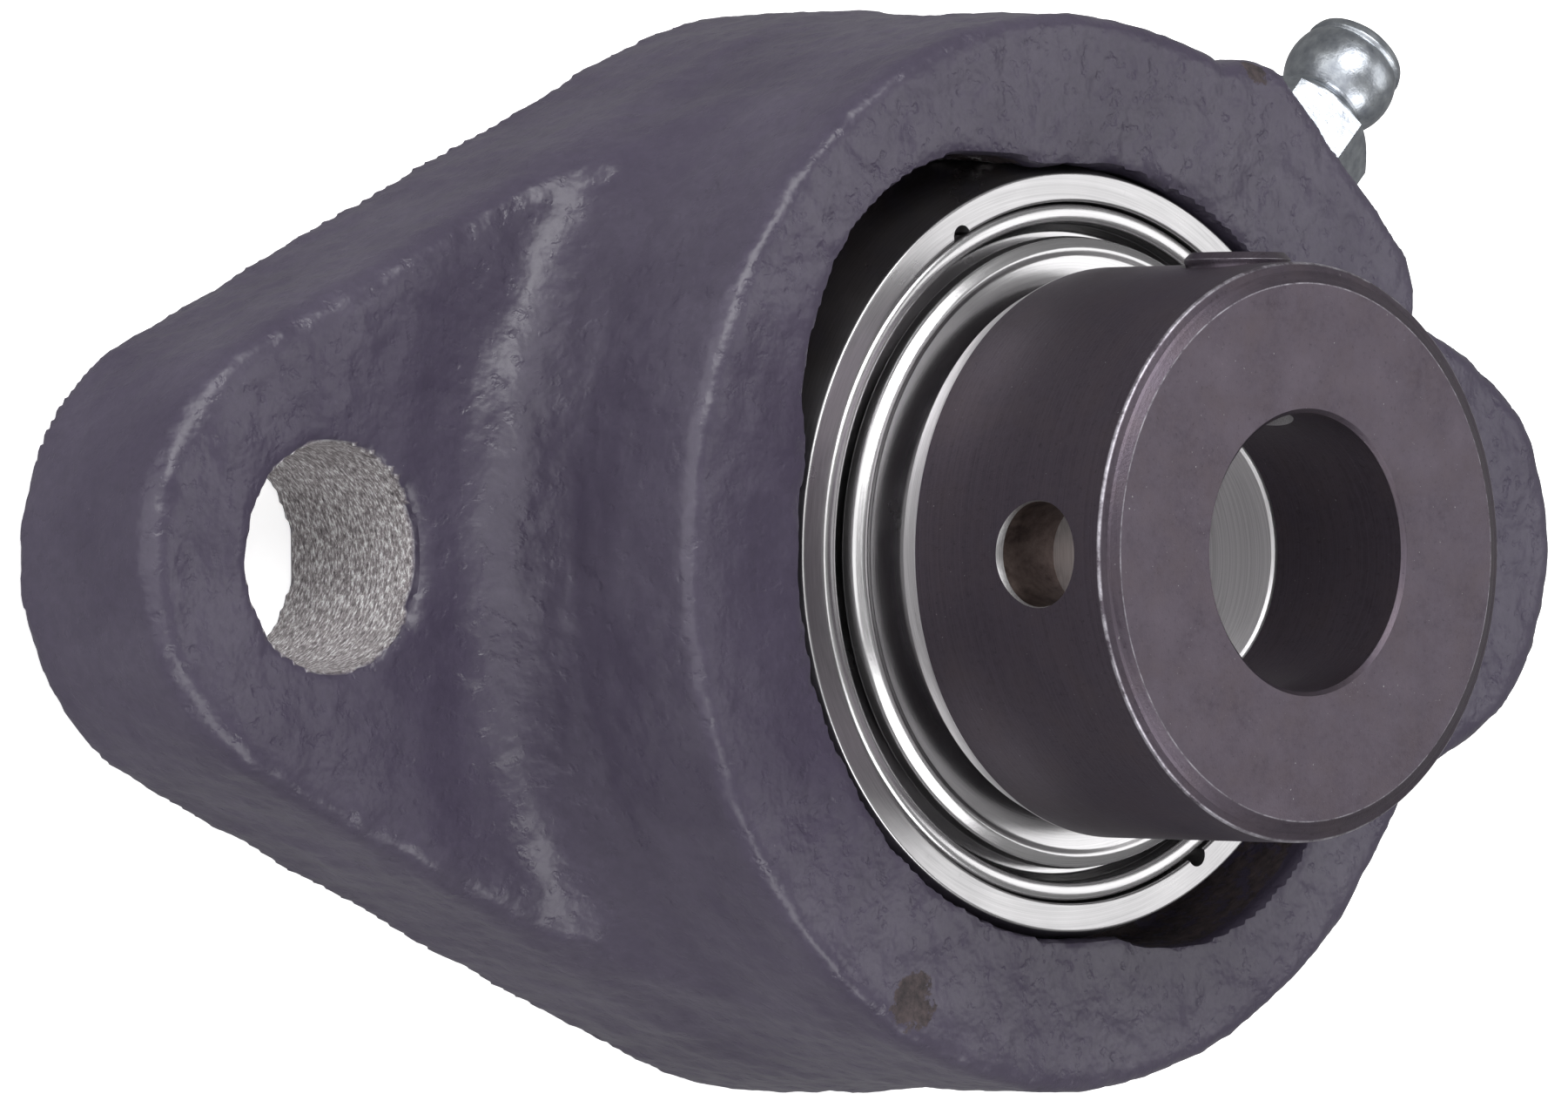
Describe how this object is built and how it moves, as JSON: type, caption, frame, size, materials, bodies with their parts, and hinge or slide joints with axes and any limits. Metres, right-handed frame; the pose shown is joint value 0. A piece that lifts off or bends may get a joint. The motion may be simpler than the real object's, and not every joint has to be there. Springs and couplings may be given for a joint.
{
  "type": "flange mount bearing",
  "caption": "Flange-mounted ball bearing: cast rhombic housing, self-aligning sealed insert, eccentric locking collar and grease fitting.",
  "frame": {"origin": "on the base plane that bolts to the machine, at the bearing axis", "axes": "+Z out of the front of the bearing, on the locking collar side; X through the two bolt holes; +Y towards the side of the collar that holds the set screw"},
  "size_m": [0.1172, 0.0646, 0.045],
  "materials": {
    "cast_paint": "dark slate paint over sand-cast iron, semi-gloss",
    "ground_steel": "ground bearing steel",
    "ball_steel": "polished bearing steel",
    "cage_steel": "pressed strip steel",
    "seal_steel": "pressed bright steel",
    "seal_rubber": "nitrile, matt",
    "black_oxide": "turned steel, black oxide",
    "zinc_plate": "bright zinc plate",
    "spring_steel": "drawn wire"
  },
  "bodies": {
    "housing": {"housing": "cast_paint", "grease_fitting": "zinc_plate", "grease_spring": "spring_steel"},
    "outer_ring": {"outer_ring": "ground_steel", "front_seal_carrier": "seal_steel", "rear_seal_carrier": "seal_steel", "front_seal_lip": "seal_rubber", "rear_seal_lip": "seal_rubber"},
    "inner_ring": {"inner_ring": "ground_steel", "front_flinger": "seal_steel", "rear_flinger": "seal_steel"},
    "cage": {"cage_front": "cage_steel", "cage_rear": "cage_steel", "cage_rivet_1": "cage_steel", "cage_rivet_2": "cage_steel", "cage_rivet_3": "cage_steel", "cage_rivet_4": "cage_steel", "cage_rivet_5": "cage_steel", "cage_rivet_6": "cage_steel", "cage_rivet_7": "cage_steel", "cage_rivet_8": "cage_steel"},
    "locking_collar": {"locking_collar": "black_oxide"},
    "set_screw": {"set_screw": "black_oxide"},
    "grease_check_ball": {"grease_check_ball": "ball_steel"},
    "ball_1": {"ball_1": "ball_steel"},
    "ball_2": {"ball_2": "ball_steel"},
    "ball_3": {"ball_3": "ball_steel"},
    "ball_4": {"ball_4": "ball_steel"},
    "ball_5": {"ball_5": "ball_steel"},
    "ball_6": {"ball_6": "ball_steel"},
    "ball_7": {"ball_7": "ball_steel"},
    "ball_8": {"ball_8": "ball_steel"}
  },
  "joints": [
    {"name": "insert_align", "type": "hinge", "parent": "housing", "child": "outer_ring", "pos_m": [0, 0, 0.0188], "axis": [1, 0, 0], "range_deg": [-2.5, 2.5]},
    {"name": "inner_ring_spin", "type": "hinge", "parent": "outer_ring", "child": "inner_ring", "pos_m": [0, 0, 0.0188], "axis": [0, 0, 1], "continuous": true},
    {"name": "cage_orbit", "type": "hinge", "parent": "outer_ring", "child": "cage", "pos_m": [0, 0, 0.0188], "axis": [0, 0, 1], "continuous": true},
    {"name": "collar_lock", "type": "hinge", "parent": "inner_ring", "child": "locking_collar", "pos_m": [0, 0, 0.0365], "axis": [0, 0, 1], "range_deg": [-15, 15]},
    {"name": "set_screw_travel", "type": "slide", "parent": "locking_collar", "child": "set_screw", "axis": [0, 1, 0], "range_m": [-0.0014, 0.004]},
    {"name": "check_ball_travel", "type": "slide", "parent": "housing", "child": "grease_check_ball", "axis": [-0.7071, -0.7071, 0], "range_m": [0, 0.0015], "stiffness_N_per_m": 400, "springref_m": -0.0005, "deforming": ["grease_spring"]},
    {"name": "ball_1_roll", "type": "hinge", "parent": "cage", "child": "ball_1", "pos_m": [0.01675, 0, 0.0188], "axis": [0, 0, 1], "continuous": true},
    {"name": "ball_2_roll", "type": "hinge", "parent": "cage", "child": "ball_2", "pos_m": [0.01184, 0.01184, 0.0188], "axis": [0, 0, 1], "continuous": true},
    {"name": "ball_3_roll", "type": "hinge", "parent": "cage", "child": "ball_3", "pos_m": [0, 0.01675, 0.0188], "axis": [0, 0, 1], "continuous": true},
    {"name": "ball_4_roll", "type": "hinge", "parent": "cage", "child": "ball_4", "pos_m": [-0.01184, 0.01184, 0.0188], "axis": [0, 0, 1], "continuous": true},
    {"name": "ball_5_roll", "type": "hinge", "parent": "cage", "child": "ball_5", "pos_m": [-0.01675, 0, 0.0188], "axis": [0, 0, 1], "continuous": true},
    {"name": "ball_6_roll", "type": "hinge", "parent": "cage", "child": "ball_6", "pos_m": [-0.01184, -0.01184, 0.0188], "axis": [0, 0, 1], "continuous": true},
    {"name": "ball_7_roll", "type": "hinge", "parent": "cage", "child": "ball_7", "pos_m": [0, -0.01675, 0.0188], "axis": [0, 0, 1], "continuous": true},
    {"name": "ball_8_roll", "type": "hinge", "parent": "cage", "child": "ball_8", "pos_m": [0.01184, -0.01184, 0.0188], "axis": [0, 0, 1], "continuous": true}
  ],
  "couplings": [
    {"joint": "cage_orbit", "follows": "inner_ring_spin", "ratio": 0.38152},
    {"joint": "ball_1_roll", "follows": "inner_ring_spin", "ratio": -1.9916},
    {"joint": "ball_2_roll", "follows": "inner_ring_spin", "ratio": -1.9916},
    {"joint": "ball_3_roll", "follows": "inner_ring_spin", "ratio": -1.9916},
    {"joint": "ball_4_roll", "follows": "inner_ring_spin", "ratio": -1.9916},
    {"joint": "ball_5_roll", "follows": "inner_ring_spin", "ratio": -1.9916},
    {"joint": "ball_6_roll", "follows": "inner_ring_spin", "ratio": -1.9916},
    {"joint": "ball_7_roll", "follows": "inner_ring_spin", "ratio": -1.9916},
    {"joint": "ball_8_roll", "follows": "inner_ring_spin", "ratio": -1.9916}
  ]
}
